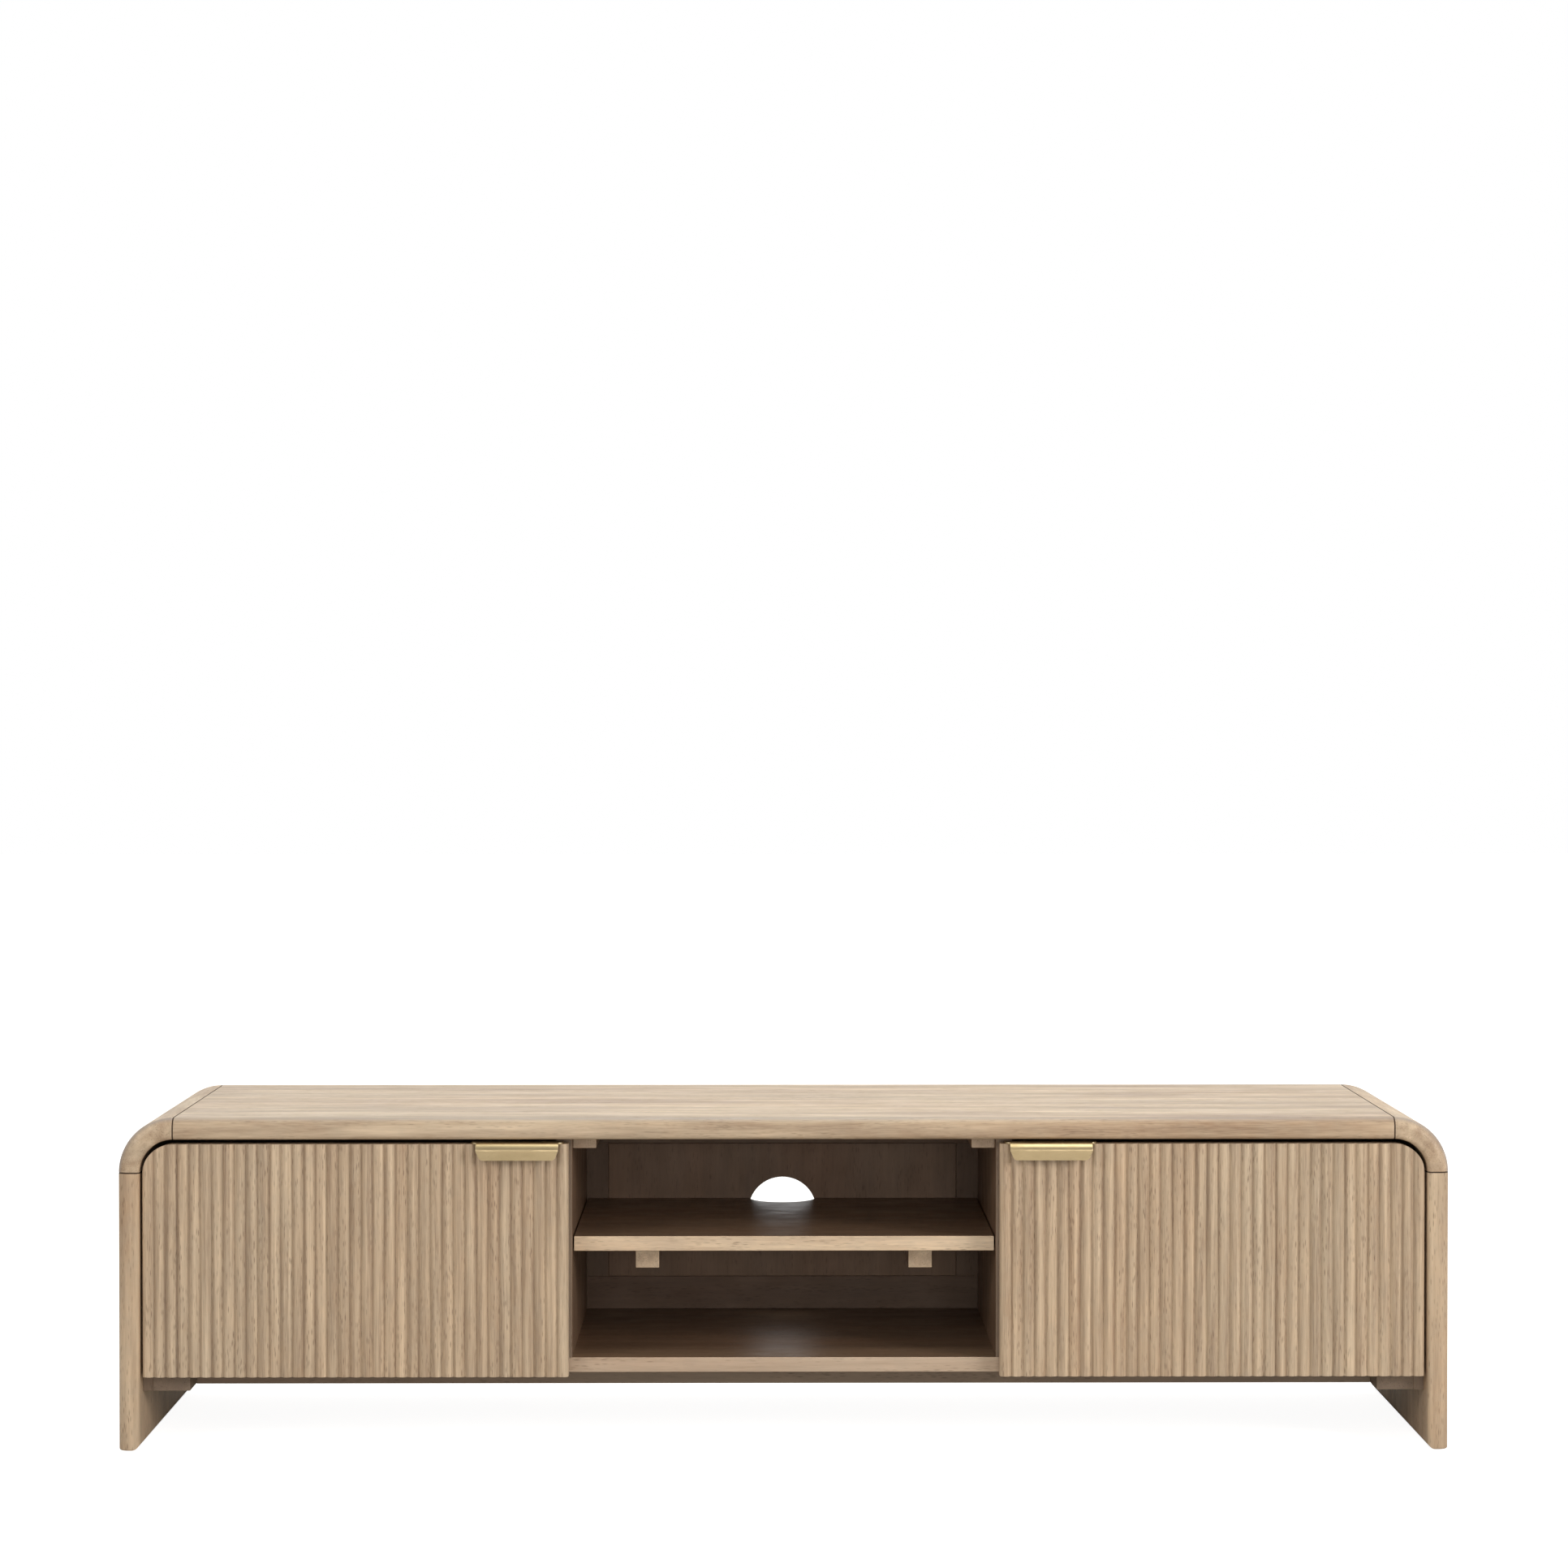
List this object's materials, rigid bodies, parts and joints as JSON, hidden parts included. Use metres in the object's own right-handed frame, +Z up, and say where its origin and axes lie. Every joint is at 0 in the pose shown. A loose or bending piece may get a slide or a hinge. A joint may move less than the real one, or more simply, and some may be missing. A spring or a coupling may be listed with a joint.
{
  "type": "media cabinet",
  "caption": "Low wooden media cabinet with a rounded waterfall shell, reeded swing doors at both ends and an open centre bay with a shelf and a cable hole.",
  "frame": {"origin": "on the floor, under the middle of the cabinet's overall box, pulls included", "axes": "+X along the length, towards the right-hand door; +Y from the front to the back; +Z up"},
  "size_m": [1.6, 0.41, 0.4],
  "materials": {
    "lengthwise_wood": "washed light hardwood, satin lacquer, grain along the length",
    "upright_wood": "washed light hardwood, satin lacquer, grain upright",
    "hidden_wood": "plain sanded hardwood, thin lacquer",
    "brass": "satin brushed brass",
    "nickel": "nickel plated steel, fine satin"
  },
  "bodies": {
    "carcass": {"top_board": "lengthwise_wood", "right_corner_block": "lengthwise_wood", "left_corner_block": "lengthwise_wood", "right_side_panel": "upright_wood", "left_side_panel": "upright_wood", "right_top_seam_spline": "hidden_wood", "left_top_seam_spline": "hidden_wood", "right_side_seam_spline": "hidden_wood", "left_side_seam_spline": "hidden_wood", "bottom_board": "lengthwise_wood", "right_inner_side": "upright_wood", "left_inner_side": "upright_wood", "right_divider": "upright_wood", "left_divider": "upright_wood", "right_base_batten": "hidden_wood", "left_base_batten": "hidden_wood", "front_base_rail": "hidden_wood", "rear_base_rail": "hidden_wood", "right_top_cleat": "hidden_wood", "left_top_cleat": "hidden_wood", "shelf": "lengthwise_wood", "right_shelf_batten": "hidden_wood", "left_shelf_batten": "hidden_wood", "right_front_shelf_pin": "nickel", "left_front_shelf_pin": "nickel", "right_rear_shelf_pin": "nickel", "left_rear_shelf_pin": "nickel", "top_back_rail": "lengthwise_wood", "bottom_back_rail": "lengthwise_wood", "right_middle_back_stile": "upright_wood", "left_middle_back_stile": "upright_wood", "right_end_back_stile": "upright_wood", "left_end_back_stile": "upright_wood", "left_back_panel": "lengthwise_wood", "centre_back_panel": "lengthwise_wood", "right_back_panel": "lengthwise_wood", "right_lower_hinge_arm": "nickel", "left_lower_hinge_arm": "nickel", "right_lower_hinge_plate": "nickel", "left_lower_hinge_plate": "nickel", "right_upper_hinge_arm": "nickel", "left_upper_hinge_arm": "nickel", "right_upper_hinge_plate": "nickel", "left_upper_hinge_plate": "nickel"},
    "left_hinge_links": {"left_lower_hinge_link": "nickel", "left_upper_hinge_link": "nickel"},
    "left_door_leaf": {"left_door": "upright_wood", "left_pull": "brass", "left_pull_inner_screw": "brass", "left_pull_outer_screw": "brass", "left_lower_hinge_cup": "nickel", "left_upper_hinge_cup": "nickel"},
    "right_hinge_links": {"right_lower_hinge_link": "nickel", "right_upper_hinge_link": "nickel"},
    "right_door_leaf": {"right_door": "upright_wood", "right_pull": "brass", "right_pull_inner_screw": "brass", "right_pull_outer_screw": "brass", "right_lower_hinge_cup": "nickel", "right_upper_hinge_cup": "nickel"}
  },
  "joints": [
    {"name": "left_link_swing", "type": "hinge", "parent": "carcass", "child": "left_hinge_links", "pos_m": [-0.734, -0.165, 0.2165], "axis": [0, 0, 1], "range_deg": [0, 30]},
    {"name": "left_door_swing", "type": "hinge", "parent": "left_hinge_links", "child": "left_door_leaf", "pos_m": [-0.759, -0.1815, 0.2165], "axis": [0, 0, -1], "range_deg": [0, 125]},
    {"name": "right_link_swing", "type": "hinge", "parent": "carcass", "child": "right_hinge_links", "pos_m": [0.734, -0.165, 0.2165], "axis": [0, 0, -1], "range_deg": [0, 30]},
    {"name": "right_door_swing", "type": "hinge", "parent": "right_hinge_links", "child": "right_door_leaf", "pos_m": [0.759, -0.1815, 0.2165], "axis": [0, 0, 1], "range_deg": [0, 125]}
  ],
  "couplings": [
    {"joint": "left_link_swing", "follows": "left_door_swing", "ratio": 0.24},
    {"joint": "right_link_swing", "follows": "right_door_swing", "ratio": 0.24}
  ]
}
